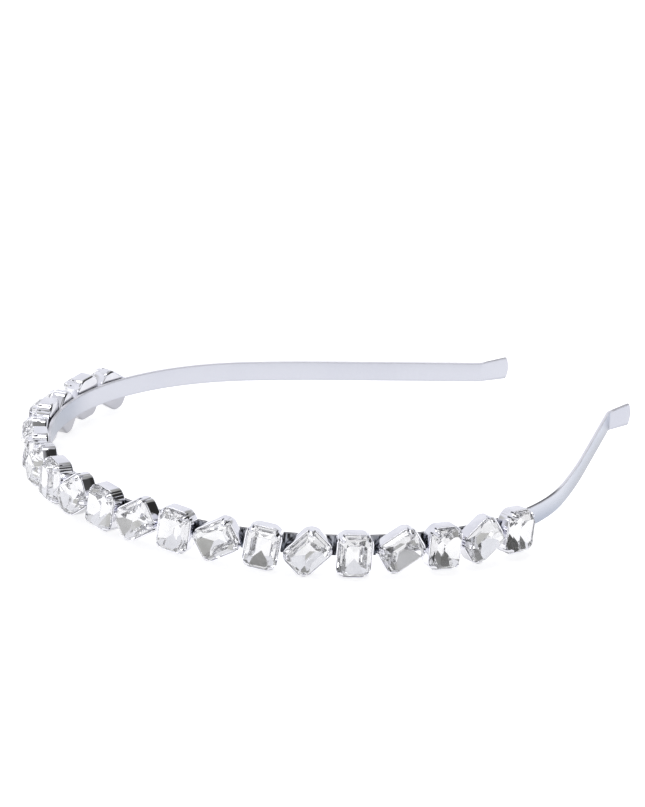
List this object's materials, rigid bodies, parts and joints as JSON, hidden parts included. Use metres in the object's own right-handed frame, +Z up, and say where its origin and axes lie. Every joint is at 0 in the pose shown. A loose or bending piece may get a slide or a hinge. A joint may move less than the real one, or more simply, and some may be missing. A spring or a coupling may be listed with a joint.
{
  "type": "crystal headband",
  "caption": "Slim springy metal headband, open at the back, with a single row of foil-backed octagon crystals in claw cups round its crown and plain arms that end in bent tips.",
  "frame": {"origin": "middle of the object's box at its bottom, on the surface that the headband lies on", "axes": "+Z up, across the width of the band as it lies on its edge; -Y toward the middle of the crown, which is the top of the head when it is worn; +Y toward the tips; X from ear to ear"},
  "size_m": [0.1423, 0.1624, 0.0125],
  "materials": {
    "band_metal": "satin-polished silver plate with a very fine grain along the band",
    "cup_metal": "bright silver plate",
    "crystal": "clear, table and step facets, mirror foil on the back"
  },
  "bodies": {
    "root": {"band": "band_metal", "cup_01": "cup_metal", "cup_02": "cup_metal", "cup_03": "cup_metal", "cup_04": "cup_metal", "cup_05": "cup_metal", "cup_06": "cup_metal", "cup_07": "cup_metal", "cup_08": "cup_metal", "cup_09": "cup_metal", "cup_10": "cup_metal", "cup_11": "cup_metal", "cup_12": "cup_metal", "cup_13": "cup_metal", "cup_14": "cup_metal", "cup_15": "cup_metal", "cup_16": "cup_metal", "cup_17": "cup_metal", "cup_18": "cup_metal", "cup_19": "cup_metal", "cup_20": "cup_metal", "stone_01": "crystal", "stone_02": "crystal", "stone_03": "crystal", "stone_04": "crystal", "stone_05": "crystal", "stone_06": "crystal", "stone_07": "crystal", "stone_08": "crystal", "stone_09": "crystal", "stone_10": "crystal", "stone_11": "crystal", "stone_12": "crystal", "stone_13": "crystal", "stone_14": "crystal", "stone_15": "crystal", "stone_16": "crystal", "stone_17": "crystal", "stone_18": "crystal", "stone_19": "crystal", "stone_20": "crystal"}
  },
  "joints": []
}
